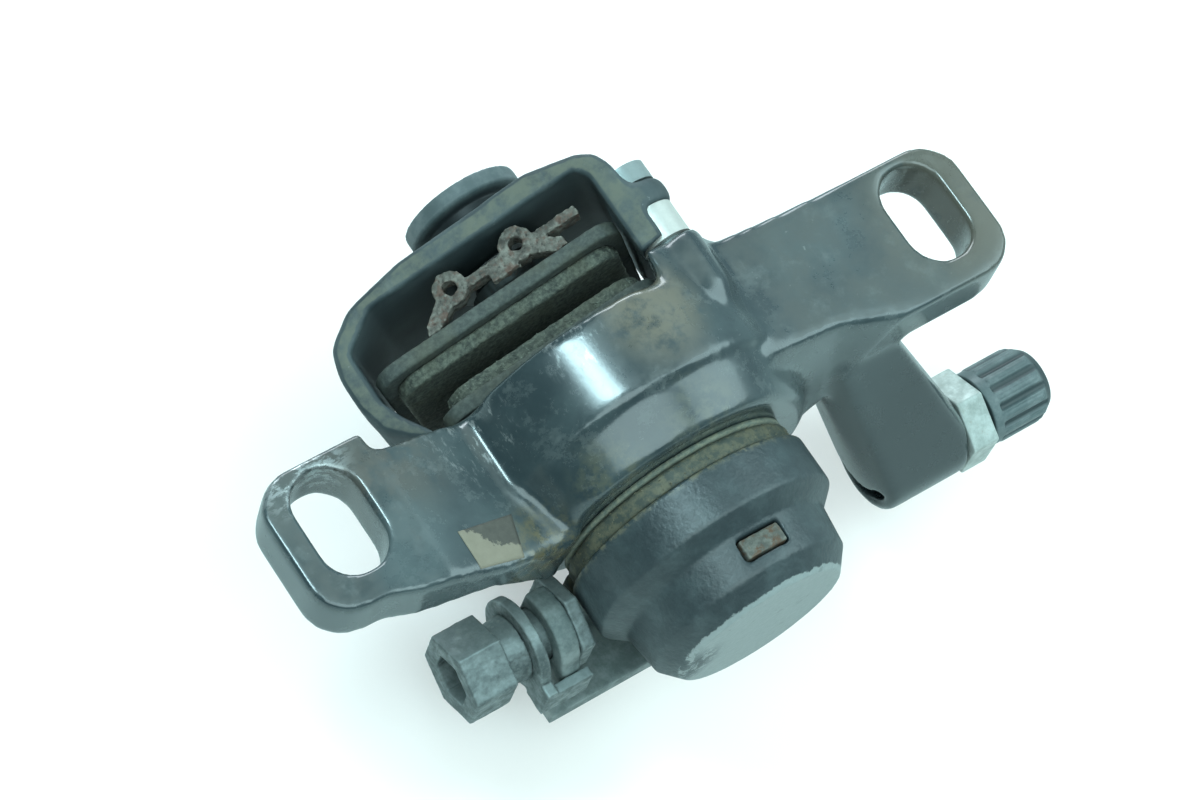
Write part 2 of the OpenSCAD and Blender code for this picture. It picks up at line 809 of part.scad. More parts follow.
// The steel cup under the cap, whose tabs snap into the cap's windows
module cap_retainer() {
    color(rust) at_axis() {
        ring(window_y - window_h / 2 + 0.6, lever_out - seat_gap, retainer_r, retainer_r - retainer_t);
        for (a = windows) rotate([0, a, 0])
            translate([-window_w / 2 + 0.25, window_y - window_h / 2 + 0.2, retainer_r - 0.5])
                cube([window_w - 0.5, window_h - 0.4, cap_wall + 0.8]);
    }
}

// Half section of the cap as radius and distance along -Y
module cap_section(shrink) {
    s = -cap_start;
    polygon([
        [0, s - 1], [cap_r - shrink, s - 1], [cap_r - shrink, s + cap_ring_len - shrink],
        [cap_top_r - shrink, -shoulder_end - shrink], [cap_top_r - 0.5 - shrink, -cap_end - 2.4 - shrink],
        [cap_face_r - shrink, -cap_end - shrink], [0, -cap_end - shrink]
    ]);
}

module actuator_cap() {
    color(plastic) at_axis() difference() {
        turned() cap_section(0);
        turned() cap_section(cap_wall);
        rod(cap_start, far, far);
        for (a = windows) rotate([0, a, 0])
            translate([-window_w / 2, window_y - window_h / 2, cap_top_r - cap_wall - 1])
                cube([window_w, window_h, 6]);
    }
}

// The anchor bolt's own frame: X along the bolt from the flange's outer face
module at_anchor() {
    at_axis() translate([-flange_x, anchor_y, -anchor_drop]) children();
}

module anchor_bolt() {
    head_x = -cable_slit - washer_t - collar_t - 3 * seat_gap;
    color(zinc) at_anchor() difference() {
        union() {
            xhex(head_x - head_t, head_x, anchor_af);
            xrod(head_x - 0.1, flange_t + anchor_nut_t + 0.2, anchor_r);
        }
        xhex(head_x - head_t - 1, head_x - head_t + 2.6, key_af);
    }
}

module anchor_collar() {
    x0 = -cable_slit - washer_t - collar_t - 2 * seat_gap;
    color(zinc) at_anchor() difference() {
        translate([x0, 0, 0]) rotate([0, 90, 0]) cylinder(h = collar_t, r1 = 0.9 * collar_r, r2 = collar_r);
        xrod(-far, far, anchor_r + seat_gap);
    }
}

// The round pinch washer, with a bent tab that hooks over the flange
module pinch_washer() {
    x1 = -cable_slit - seat_gap;
    color(zinc) at_anchor() difference() {
        union() {
            xrod(x1 - washer_t, x1, washer_r);
            translate([x1 - washer_t, -tab_out, -tab_drop]) cube([washer_t, 2.5 * tab_t, tab_h]);
            translate([x1 - washer_t, -tab_out, -tab_drop]) cube([washer_t + tab_len, tab_t, tab_h - 0.6]);
        }
        xrod(-far, far, anchor_r + seat_gap);
    }
}

module anchor_nut() {
    color(zinc) at_anchor() difference() {
        xhex(flange_t + seat_gap, flange_t + anchor_nut_t, anchor_nut_af);
        xrod(-far, far, anchor_r + seat_gap);
    }
}

module at_barrel() {
    translate([stop_x, barrel_y, barrel_z]) children();
}

module barrel_stem() {
    stem_end = lock_nut_t + barrel_neck + barrel_knob_len - ferrule_deep - 0.6;
    color(zinc) at_barrel() difference() {
        xrod(-stop_w + 2.6, stem_end, barrel_r);
        xrod(-far, far, cable_r);
    }
}

// The ribbed knob, with the seat for the cable housing in its end
module barrel_knob() {
    ribs = 12;
    x0 = lock_nut_t + barrel_neck;
    x1 = x0 + barrel_knob_len;
    color(plastic) at_barrel() difference() {
        union() {
            xrod(x0, x1 - 1.4, barrel_knob_r);
            translate([x1 - 1.4 - eps, 0, 0]) rotate([0, 90, 0])
                cylinder(h = 1.4, r1 = barrel_knob_r, r2 = barrel_knob_r - 0.9);
        }
        for (i = [0 : ribs - 1]) rotate([i * 360 / ribs, 0, 0])
            translate([0, barrel_knob_r + 0.15, 0]) xrod(x0 + 1.2, x1 + 1, 0.55);
        xrod(x0 - 1, x1 - ferrule_deep - 0.2, barrel_r + run_fit);
        xrod(x1 - ferrule_deep, far, ferrule_r);
        xrod(x0, x1, cable_r);
    }
}

module barrel_lock_nut() {
    color(zinc) at_barrel() difference() {
        xhex(seat_gap, lock_nut_t, lock_nut_af);
        xrod(-1, far, barrel_r + run_fit);
    }
}

caliper_body();
inner_bracket();
bracket_bolt();
bracket_spacer();
bracket_pin();
fixed_pad_backing();
fixed_pad_lining();
moving_pad_backing();
moving_pad_lining();
pad_spring_clip();
adjuster_knob();
adjuster_ring();
adjuster_clip();
adjuster_anvil();
lever_arm();
spindle();
spindle_bush();
spindle_nut();
thrust_washer();
ramp_balls();
ball_cage();
ramp_plate();
pusher_piston();
piston_seal();
dust_seal();
return_spring();
cap_retainer();
actuator_cap();
anchor_bolt();
anchor_collar();
pinch_washer();
anchor_nut();
barrel_stem();
barrel_knob();
barrel_lock_nut();
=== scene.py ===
import bpy
import json
import math
from mathutils import Matrix, Vector, noise
from mathutils.bvhtree import BVHTree


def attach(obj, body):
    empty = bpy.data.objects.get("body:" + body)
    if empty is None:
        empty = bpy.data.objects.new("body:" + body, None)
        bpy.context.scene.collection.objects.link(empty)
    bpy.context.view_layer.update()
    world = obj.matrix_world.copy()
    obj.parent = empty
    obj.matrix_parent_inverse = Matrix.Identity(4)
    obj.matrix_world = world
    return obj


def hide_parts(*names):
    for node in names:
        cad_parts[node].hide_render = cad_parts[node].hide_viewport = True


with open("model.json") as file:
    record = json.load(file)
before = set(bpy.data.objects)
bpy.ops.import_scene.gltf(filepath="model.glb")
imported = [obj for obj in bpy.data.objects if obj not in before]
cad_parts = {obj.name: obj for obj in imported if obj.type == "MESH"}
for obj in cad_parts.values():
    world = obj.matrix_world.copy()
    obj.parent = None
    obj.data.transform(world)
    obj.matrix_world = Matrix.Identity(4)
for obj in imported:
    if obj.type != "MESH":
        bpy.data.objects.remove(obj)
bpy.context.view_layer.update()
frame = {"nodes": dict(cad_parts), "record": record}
mm = 0.001
quarterTurn = math.pi / 2
scene = bpy.context.scene
print("stage: frame loaded")

# The lever's spindle runs along Y, the barrel adjuster along X.
spindleX = -0.5 * mm
spindleZ = -5.8 * mm
barrelY = -14.7 * mm
barrelZ = -21.3 * mm

# The photo's camera, solved on the two bolt slots.
view = {
    "place": (-0.1539, -0.1047, 0.3437),
    "right": (0.816, -0.547, 0.189),
    "up": (0.431, 0.793, 0.431),
    "forward": (0.386, 0.270, -0.882),
    "lens": 112.3,
    "sensor": 36,
    "near": 0.01,
}
cameraData = bpy.data.cameras.new("camera")
cameraData.lens = view["lens"]
cameraData.sensor_width = view["sensor"]
cameraData.sensor_fit = "HORIZONTAL"
cameraData.clip_start = view["near"]
cameraObject = bpy.data.objects.new("camera", cameraData)
scene.collection.objects.link(cameraObject)
axes = Matrix((view["right"], view["up"], [-v for v in view["forward"]])).transposed()
cameraObject.matrix_world = Matrix.Translation(view["place"]) @ axes.to_4x4()
scene.camera = cameraObject
scene.view_settings.view_transform = "Standard"


class Shader:
    # A pattern's shift moves it by these shares along X, Y and Z.
    shiftShares = (1.0, 1.7, 0.6)

    def __init__(self, name):
        self.material = bpy.data.materials.new(name)
        self.material.use_nodes = True
        self.tree = self.material.node_tree
        self.tree.nodes.clear()
        out = self.add("ShaderNodeOutputMaterial")
        self.surface = self.add("ShaderNodeBsdfPrincipled")
        self.link(self.surface.outputs["BSDF"], out.inputs["Surface"])
        self.coords = self.add("ShaderNodeTexCoord").outputs["Object"]

    def add(self, kind, **settings):
        node = self.tree.nodes.new(kind)
        for key, value in settings.items():
            setattr(node, key, value)
        return node

    def link(self, source, target):
        self.tree.links.new(source, target)

    def put(self, socket, value):
        if isinstance(value, bpy.types.NodeSocket):
            self.link(value, socket)
        elif isinstance(value, tuple) and len(value) == 3 and socket.type == "RGBA":
            socket.default_value = (*value, 1)
        else:
            socket.default_value = value

    def set(self, **values):
        for key, value in values.items():
            self.put(self.surface.inputs[key.replace("_", " ")], value)

    def noise(self, sizeMm, detail=4, rough=0.6, stretch=None, shift=0.0):
        vector = self.coords
        if stretch or shift:
            mapping = self.add("ShaderNodeMapping")
            self.link(vector, mapping.inputs["Vector"])
            mapping.inputs["Scale"].default_value = stretch or (1, 1, 1)
            mapping.inputs["Location"].default_value = [shift * share for share in self.shiftShares]
            vector = mapping.outputs["Vector"]
        node = self.add("ShaderNodeTexNoise")
        self.link(vector, node.inputs["Vector"])
        node.inputs["Scale"].default_value = 1 / (sizeMm * mm)
        node.inputs["Detail"].default_value = detail
        node.inputs["Roughness"].default_value = rough
        return node.outputs["Fac"]

    # Eases from 0 at low to 1 at high. Low may be the larger of the two.
    def band(self, value, low, high):
        node = self.add("ShaderNodeMapRange", interpolation_type="SMOOTHSTEP")
        self.put(node.inputs["Value"], value)
        node.inputs["From Min"].default_value = low
        node.inputs["From Max"].default_value = high
        return node.outputs["Result"]

    def levels(self, value, fromMm, toMm):
        return self.band(value, fromMm * mm, toMm * mm)

    def patch(self, low, high, **pattern):
        return self.band(self.noise(**pattern), low, high)

    def ragged(self, reachMm, **pattern):
        return self.times(self.math("SUBTRACT", self.noise(**pattern), 0.5), reachMm * mm)

    def math(self, operation, a, b=0.0):
        node = self.add("ShaderNodeMath", operation=operation)
        self.put(node.inputs[0], a)
        self.put(node.inputs[1], b)
        return node.outputs[0]

    def times(self, *values):
        result = values[0]
        for value in values[1:]:
            result = self.math("MULTIPLY", result, value)
        return result

    # A Mix node has its two colours at sockets 6 and 7 and its two numbers at 2 and 3.
    def mix(self, factor, a, b):
        node = self.add("ShaderNodeMix", data_type="RGBA")
        self.put(node.inputs[0], factor)
        self.put(node.inputs[6], a)
        self.put(node.inputs[7], b)
        return node.outputs[2]

    def blend(self, factor, a, b):
        node = self.add("ShaderNodeMix", data_type="FLOAT")
        self.put(node.inputs[0], factor)
        self.put(node.inputs[2], a)
        self.put(node.inputs[3], b)
        return node.outputs[0]

    def bump(self, height, strength, depthMm):
        node = self.add("ShaderNodeBump")
        self.put(node.inputs["Height"], height)
        node.inputs["Strength"].default_value = strength
        node.inputs["Distance"].default_value = depthMm * mm
        self.link(node.outputs["Normal"], self.surface.inputs["Normal"])

    def edges(self, low, high):
        node = self.add("ShaderNodeNewGeometry")
        return self.band(node.outputs["Pointiness"], low, high)

    def axis(self, letter):
        node = self.add("ShaderNodeSeparateXYZ")
        self.link(self.coords, node.inputs[0])
        return node.outputs[letter]

    def facing(self, direction, low, high):
        node = self.add("ShaderNodeVectorMath", operation="DOT_PRODUCT")
        self.link(self.add("ShaderNodeNewGeometry").outputs["Normal"], node.inputs[0])
        node.inputs[1].default_value = direction
        return self.band(node.outputs["Value"], low, high)

    # Full within the core share of the reach, gone at the reach.
    def near(self, at, reach, core=0.3):
        node = self.add("ShaderNodeVectorMath", operation="DISTANCE")
        self.link(self.coords, node.inputs[0])
        node.inputs[1].default_value = [v * mm for v in at]
        return self.levels(node.outputs["Value"], reach, reach * core)


def scaled(tone, share):
    return tuple(min(1, v * share) for v in tone)


# Worn gloss paint, from the bottom up: grime, dusty film, smudges, specks, dirt with a painted shade,
# bare metal with painted highlights.
paint = {
    "deep": (0.024, 0.039, 0.044),
    "faded": (0.052, 0.076, 0.080),
    "smudged": (0.115, 0.142, 0.140),
    "speckled": (0.22, 0.25, 0.24),
    "bareAndHighlight": (0.42, 0.46, 0.46),
    "grime": {"sizeMm": 11, "detail": 6, "rough": 0.62, "low": 0.38, "high": 0.72},
    "film": {"detail": 7, "rough": 0.70, "shift": 0.3},
    "filmBand": (0.34, 0.66),
    "filmFacing": (0.94, 0.99),
    "filmShare": 0.8,
    "smudges": {"sizeMm": 3.2, "detail": 8, "rough": 0.74, "shift": 0.8, "low": 0.50, "high": 0.74},
    "smudgeShare": 0.5,
    "specks": {"sizeMm": 0.8, "detail": 4, "rough": 0.7, "shift": 0.5, "low": 0.66, "high": 0.72},
    "speckShare": 0.5,
    "grains": {"sizeMm": 0.35, "detail": 3, "rough": 0.6, "shift": 0.4, "low": 0.68, "high": 0.73},
    "grainShare": 0.6,
    "crust": {"detail": 6, "rough": 0.72, "shift": 0.2},
    "crustMm": 1.6,
    "crustFrom": 0.40,
    "crustSpan": 0.22,
    "rubbed": {"sizeMm": 2.6, "detail": 6, "rough": 0.75, "shift": 0.1, "low": 0.50, "high": 0.66},
    "rubbedEdges": (0.535, 0.62),
    "scratch": {"sizeMm": 1.1, "detail": 6, "rough": 0.75, "shift": 0.7},
    "scratchSpan": 0.10,
    "bareMetallic": 0.85,
    "rough": {"clean": 0.24, "smudged": 0.42, "filmed": 0.55},
    "coat": {"specular": 0.8, "clean": 0.5, "filmed": 0.1, "rough": 0.13},
    "coarse": {"sizeMm": 1.6},
    "fine": {"sizeMm": 0.5},
    "fineShare": 0.35,
    "bump": {"strength": 0.12, "depthMm": 0.16},
}


def castPaint(name, flat, filmTone, filmMm, rimWear, dullness=0.0, cover=0.0, scuffsAndHighlights=(), dirtAndShade=()):
    s = Shader(name)
    grime = s.patch(**paint["grime"])
    base = s.mix(grime, paint["deep"], paint["faded"])
    low, high = (value - cover for value in paint["filmBand"])
    filmed = s.patch(low, high, sizeMm=filmMm, **paint["film"])
    filmed = s.times(s.facing(flat, *paint["filmFacing"]), filmed)
    base = s.mix(s.times(filmed, paint["filmShare"]), base, filmTone)
    smudges = s.patch(**paint["smudges"])
    base = s.mix(s.times(smudges, paint["smudgeShare"]), base, paint["smudged"])
    specks = s.times(s.patch(**paint["specks"]), grime, paint["speckShare"])
    grains = s.times(s.patch(**paint["grains"]), smudges, paint["grainShare"])
    base = s.mix(s.math("MAXIMUM", specks, grains), base, paint["speckled"])
    # Dirt spots; one of the body's is a painted shade that darkens the stop arm.
    for spot in dirtAndShade:
        low = spot.get("from", paint["crustFrom"])
        sizeMm = spot.get("grain", paint["crustMm"])
        crust = s.patch(low, low + paint["crustSpan"], sizeMm=sizeMm, **paint["crust"])
        amount = s.times(s.near(spot["at"], spot["reach"]), crust, spot["strength"])
        base = s.mix(amount, base, spot["tone"])
    wearAndHighlight = s.times(s.edges(*paint["rubbedEdges"]), s.patch(**paint["rubbed"]), rimWear)
    # Some scuff spots are painted highlights that lighten the paint to the bare tone.
    for spot in scuffsAndHighlights:
        low = spot["from"]
        scratch = s.patch(low, low + paint["scratchSpan"], stretch=spot["along"], **paint["scratch"])
        amount = s.times(s.near(spot["at"], spot["reach"]), scratch, spot["strength"])
        wearAndHighlight = s.math("MAXIMUM", wearAndHighlight, amount)
    base = s.mix(wearAndHighlight, base, paint["bareAndHighlight"])
    rough = {key: value + dullness for key, value in paint["rough"].items()}
    worn = s.blend(filmed, s.blend(smudges, rough["clean"], rough["smudged"]), rough["filmed"])
    s.set(Base_Color=base, Metallic=s.times(wearAndHighlight, paint["bareMetallic"]), Roughness=worn)
    if not dullness:
        coat = paint["coat"]
        s.set(Specular_IOR_Level=coat["specular"], Coat_Roughness=coat["rough"])
        s.set(Coat_Weight=s.blend(filmed, coat["clean"], coat["filmed"]))
    height = s.blend(paint["fineShare"], s.noise(**paint["coarse"]), s.noise(**paint["fine"]))
    s.bump(height, **paint["bump"])
    return s.material


# The cap's face is worn pale past a ragged level, with chips on one side and a crust at its rim.
capLook = {
    "dark": (0.020, 0.034, 0.039),
    "dusty": (0.044, 0.068, 0.073),
    "pale": (0.18, 0.23, 0.23),
    "palest": (0.27, 0.32, 0.315),
    "crusted": (0.15, 0.145, 0.095),
    "dust": {"sizeMm": 4, "detail": 8, "rough": 0.74, "low": 0.42, "high": 0.74},
    "grain": {"sizeMm": 0.55, "detail": 3, "rough": 0.55},
    "ragged": {"reachMm": 1.1, "sizeMm": 1.4, "detail": 6, "rough": 0.8},
    "worn": {"fromMm": -27.02, "toMm": -27.16},
    "dents": {"sizeMm": 2.2, "detail": 5, "rough": 0.7, "shift": 0.9, "low": 0.60, "high": 0.66},
    "dentShare": 0.7,
    "mottle": {"sizeMm": 0.7, "detail": 5, "rough": 0.7},
    "chipped": {"at": (-10.4, -27.6, -6.8), "reach": 6.0},
    "chips": {"sizeMm": 1.2, "detail": 5, "rough": 0.75, "shift": 0.6, "low": 0.44, "high": 0.50},
    "rim": {"fromMm": -14.5, "toMm": -13.7},
    "crust": {"sizeMm": 1.5, "detail": 6, "rough": 0.75, "shift": 0.4, "low": 0.44, "high": 0.60},
    "crustShare": 0.8,
    "rough": (0.34, 0.52),
    "specular": 0.85,
    "bump": {"strength": 0.5, "depthMm": 0.14},
}


def capPlastic():
    s = Shader("capPlastic")
    base = s.mix(s.patch(**capLook["dust"]), capLook["dark"], capLook["dusty"])
    level = s.math("ADD", s.axis("Y"), s.ragged(**capLook["ragged"]))
    dented = s.blend(s.patch(**capLook["dents"]), 1.0, capLook["dentShare"])
    chips = s.times(s.near(**capLook["chipped"]), s.patch(**capLook["chips"]))
    worn = s.times(s.levels(level, **capLook["worn"]), dented, s.math("SUBTRACT", 1.0, chips))
    pale = s.mix(s.noise(**capLook["mottle"]), capLook["pale"], capLook["palest"])
    base = s.mix(worn, base, pale)
    rim = s.times(s.levels(level, **capLook["rim"]), s.patch(**capLook["crust"]))
    base = s.mix(s.times(rim, capLook["crustShare"]), base, capLook["crusted"])
    grain = s.noise(**capLook["grain"])
    s.set(Base_Color=base, Roughness=s.blend(grain, *capLook["rough"]))
    s.set(Specular_IOR_Level=capLook["specular"])
    s.bump(grain, **capLook["bump"])
    return s.material


# Bare metal: patches of two tones, stains, a paler top that is painted light from above, painted shade
# in the creases and painted highlights on the rims.
metal = {
    "patches": {"detail": 6, "rough": 0.7, "low": 0.36, "high": 0.68},
    "stains": {"sizeMm": 1.1, "detail": 6, "rough": 0.72, "shift": 0.2},
    "stainLow": 0.62,
    "stainHigh": 0.74,
    "rustLow": 0.25,
    "rustHigh": 0.2,
    "leastStain": 0.25,
    "stainMetallic": 0.2,
    "topLightFacing": {"direction": (-0.2, 0.3, 0.93), "low": 0.45, "high": 0.85},
    "shadedCreases": (0.495, 0.45),
    "creaseShadeShare": 0.9,
    "creaseShadeTone": 0.25,
    "highlightRims": (0.52, 0.58),
    "rimHighlightShare": 0.6,
    "lightTone": 1.5,
    "dullness": 0.16,
    "grain": {"sizeMm": 0.5, "detail": 5, "rough": 0.65},
    "bump": {"strength": 0.22, "depthMm": 0.12},
}
rustTone = (0.060, 0.034, 0.020)


def wornMetal(name, dark, light, rough, rust=0.0, metallic=0.85, grainMm=2.2, stain=rustTone, dust=0.0):
    s = Shader(name)
    patches = s.patch(sizeMm=grainMm, **metal["patches"])
    base = s.mix(patches, dark, light)
    low = metal["stainLow"] - rust * metal["rustLow"]
    high = metal["stainHigh"] - rust * metal["rustHigh"]
    stains = s.patch(low, high, **metal["stains"])
    base = s.mix(s.times(stains, min(1, rust + metal["leastStain"])), base, stain)
    pale = scaled(light, metal["lightTone"])
    # The dust share sets a painted light from above: faces turned up and to one side are paler.
    if dust:
        base = s.mix(s.times(s.facing(**metal["topLightFacing"]), dust), base, pale)
    # Painted shade in the concave creases, and painted highlights on the convex rims.
    shadedCreases = s.times(s.edges(*metal["shadedCreases"]), metal["creaseShadeShare"])
    base = s.mix(shadedCreases, base, scaled(dark, metal["creaseShadeTone"]))
    base = s.mix(s.times(s.edges(*metal["highlightRims"]), metal["rimHighlightShare"]), base, pale)
    s.set(Base_Color=base, Metallic=s.blend(stains, metallic, metal["stainMetallic"]))
    s.set(Roughness=s.blend(patches, rough + metal["dullness"], rough))
    s.bump(s.noise(**metal["grain"]), **metal["bump"])
    return s.material


# The lever's hub is mucky round the spindle, and its arm is cleaner.
hubLook = {
    "sizeMm": 2.6,
    "clean": ((0.115, 0.155, 0.154), (0.22, 0.275, 0.27)),
    "mucky": ((0.050, 0.064, 0.054), (0.118, 0.118, 0.078)),
    "muck": {"sizeMm": 1.3, "detail": 6, "rough": 0.75, "shift": 0.2, "low": 0.40, "high": 0.62},
    "hub": {"at": (-0.5, -12.5, -5.8), "reach": 16.5, "core": 0.86},
    "metallic": 0.15,
    "rough": (0.68, 0.52),
    "bump": {"strength": 0.25, "depthMm": 0.14},
}


def hubSteel():
    s = Shader("hubSteel")
    patches = s.patch(sizeMm=hubLook["sizeMm"], **metal["patches"])
    clean = s.mix(patches, *hubLook["clean"])
    mucky = s.mix(s.patch(**hubLook["muck"]), *hubLook["mucky"])
    s.set(Base_Color=s.mix(s.near(**hubLook["hub"]), clean, mucky), Metallic=hubLook["metallic"])
    s.set(Roughness=s.blend(patches, *hubLook["rough"]))
    s.bump(s.noise(**metal["grain"]), **hubLook["bump"])
    return s.material


# Dusty plastic and rubber. Where a piece has a raised part, the rest of it takes a dark tone, a painted
# shade.
plastic = {
    "dust": {"sizeMm": 2.4, "detail": 6, "rough": 0.7},
    "grain": {"sizeMm": 0.4, "detail": 3, "rough": 0.6},
    "bump": {"strength": 0.15, "depthMm": 0.08},
    "crown": {"fromMm": 4.05, "toMm": 4.55},
    "flange": {"fromMm": 26.95, "toMm": 27.35},
}


def gripCrown(s):
    across = s.math("SUBTRACT", s.axis("Y"), barrelY)
    height = s.math("SUBTRACT", s.axis("Z"), barrelZ)
    reach = s.math("SQRT", s.math("ADD", s.times(across, across), s.times(height, height)))
    return s.levels(reach, **plastic["crown"])


def dialFlange(s):
    return s.levels(s.axis("Y"), **plastic["flange"])


def dustyPlastic(name, dark, light, rough, dustBand=(0.46, 0.76), raised=None, recessShade=None):
    s = Shader(name)
    base = s.mix(s.patch(*dustBand, **plastic["dust"]), dark, light)
    # Painted shade: below the raised part the colour turns dark.
    if raised:
        base = s.mix(raised(s), recessShade, base)
    s.set(Base_Color=base, Roughness=rough)
    s.bump(s.noise(**plastic["grain"]), **plastic["bump"])
    return s.material


stone = {
    "grain": {"sizeMm": 0.6, "detail": 5, "rough": 0.7},
    "grainBand": (0.35, 0.7),
    "dust": {"sizeMm": 4, "detail": 5, "rough": 0.6, "low": 0.4, "high": 0.7},
    "dustShare": 0.4,
    "dusty": (0.075, 0.078, 0.050),
    "rough": 0.8,
    "depthMm": 0.25,
}


def padStone(name, dark, light, strength):
    s = Shader(name)
    grain = s.noise(**stone["grain"])
    base = s.mix(s.band(grain, *stone["grainBand"]), dark, light)
    base = s.mix(s.times(s.patch(**stone["dust"]), stone["dustShare"]), base, stone["dusty"])
    s.set(Base_Color=base, Roughness=stone["rough"])
    s.bump(grain, strength, stone["depthMm"])
    return s.material


# The scrap of paper is torn along a slanted, ragged line, and dark beyond it.
paperLook = {
    "ragged": {"reachMm": 6.0, "sizeMm": 2.6, "detail": 5, "rough": 0.7},
    "slant": 0.75,
    "torn": {"fromMm": -26.6, "toMm": -26.2},
    "mottle": {"sizeMm": 1.2},
    "tones": ((0.16, 0.150, 0.110), (0.23, 0.22, 0.17)),
    "residue": {"sizeMm": 0.9, "detail": 5, "rough": 0.7},
    "residueTones": ((0.035, 0.038, 0.032), (0.095, 0.095, 0.080)),
    "rough": 0.7,
    "grain": {"sizeMm": 0.5},
    "bump": {"strength": 0.2, "depthMm": 0.1},
}


def paperLabel():
    s = Shader("paperLabel")
    slant = s.math("ADD", s.times(s.axis("X"), paperLook["slant"]), s.axis("Y"))
    level = s.math("ADD", slant, s.ragged(**paperLook["ragged"]))
    base = s.mix(s.noise(**paperLook["mottle"]), *paperLook["tones"])
    residue = s.mix(s.noise(**paperLook["residue"]), *paperLook["residueTones"])
    s.set(Base_Color=s.mix(s.levels(level, **paperLook["torn"]), base, residue))
    s.set(Roughness=paperLook["rough"])
    s.bump(s.noise(**paperLook["grain"]), **paperLook["bump"])
    return s.material


# Places and reaches are in mm, where the photo shows scratches and dirt. The first scuff is scratches
# with a painted sheen, the second is a painted highlight, and the last dirt spot is a painted shade.
bodyScuffsAndHighlights = [
    # Scratches with a painted sheen at the crest of the bulge.
    {"at": (-8.0, 3.3, 12.2), "reach": 4.6, "from": 0.53, "strength": 0.55, "along": (1, 0.35, 1)},
    # A painted highlight along the crease between the left arm and the bulge.
    {"at": (-19.5, 2.0, 3.5), "reach": 6.5, "from": 0.56, "strength": 0.7, "along": (1, 0.35, 1)},
    {"at": (-38.0, 7.3, 6.5), "reach": 7.0, "from": 0.47, "strength": 0.9, "along": (0.5, 1, 1)},
    {"at": (-26.0, 5.0, 6.6), "reach": 7.0, "from": 0.58, "strength": 0.35, "along": (1, 1, 1)},
]
bodyDirtAndShade = [
    {"at": (-19.0, -11.0, 0.5), "reach": 6.5, "strength": 0.8, "tone": (0.125, 0.110, 0.055)},
    {"at": (-11.0, -10.0, 8.0), "reach": 6.0, "strength": 0.5, "tone": (0.11, 0.115, 0.075)},
    {"at": (0.0, -10.2, 12.0), "reach": 7.0, "strength": 0.45, "tone": (0.10, 0.11, 0.08)},
    {
        "at": (1.0, 2.4, 13.6), "reach": 7.5, "strength": 0.8,
        "tone": (0.14, 0.130, 0.095), "grain": 3.0, "from": 0.32,
    },
    {
        "at": (-31.0, 4.5, 6.6), "reach": 11.0, "strength": 0.65,
        "tone": (0.088, 0.084, 0.070), "grain": 5.0, "from": 0.34,
    },
    {
        "at": (-32.5, -6.0, 6.8), "reach": 7.0, "strength": 0.6,
        "tone": (0.085, 0.120, 0.125), "grain": 4.0, "from": 0.25,
    },
    {
        "at": (42.0, 0.0, 6.8), "reach": 15.0, "strength": 0.55,
        "tone": (0.135, 0.122, 0.088), "grain": 7.0, "from": 0.30,
    },
    # Painted shade: the stop arm underneath is darkened almost to black.
    {
        "at": (34.0, -14.0, -16.0), "reach": 26.0, "strength": 0.95,
        "tone": (0.010, 0.018, 0.021), "from": -0.2,
    },
]
looks = {
    "body": castPaint(
        "bodyPaint", flat=(0, 0, 1), filmTone=(0.058, 0.070, 0.065), filmMm=9, rimWear=0.25,
        scuffsAndHighlights=bodyScuffsAndHighlights, dirtAndShade=bodyDirtAndShade,
    ),
    "cap_plastic": capPlastic(),
    # Its dust share is a painted light from above on the tops.
    "zinc": wornMetal(
        "zincPlate", dark=(0.088, 0.115, 0.116), light=(0.20, 0.245, 0.245), rough=0.36,
        rust=0.3, metallic=0.4, grainMm=1.4, stain=(0.040, 0.050, 0.046), dust=0.45,
    ),
    "steel": wornMetal(
        "plainSteel", dark=(0.10, 0.11, 0.11), light=(0.28, 0.29, 0.29), rough=0.42, rust=0.35,
    ),
    "bronze": wornMetal(
        "bearingBronze", dark=(0.22, 0.15, 0.06), light=(0.42, 0.30, 0.13), rough=0.35,
    ),
    "rusty_steel": wornMetal(
        "rustySteel", dark=(0.062, 0.060, 0.052), light=(0.19, 0.192, 0.165), rough=0.6,
        rust=0.55, metallic=0.2, grainMm=1.6, stain=(0.112, 0.066, 0.050),
    ),
    "backing": padStone("padBacking", (0.040, 0.052, 0.049), (0.080, 0.098, 0.088), strength=0.2),
    "lining": padStone("padLining", (0.035, 0.044, 0.038), (0.125, 0.145, 0.115), strength=0.6),
    "rubber": dustyPlastic(
        "sealRubber", dark=(0.014, 0.014, 0.014), light=(0.05, 0.045, 0.035), rough=0.7,
    ),
    "knob_plastic": dustyPlastic(
        "knobPlastic", dark=(0.070, 0.104, 0.110), light=(0.15, 0.20, 0.205), rough=0.42,
    ),
}
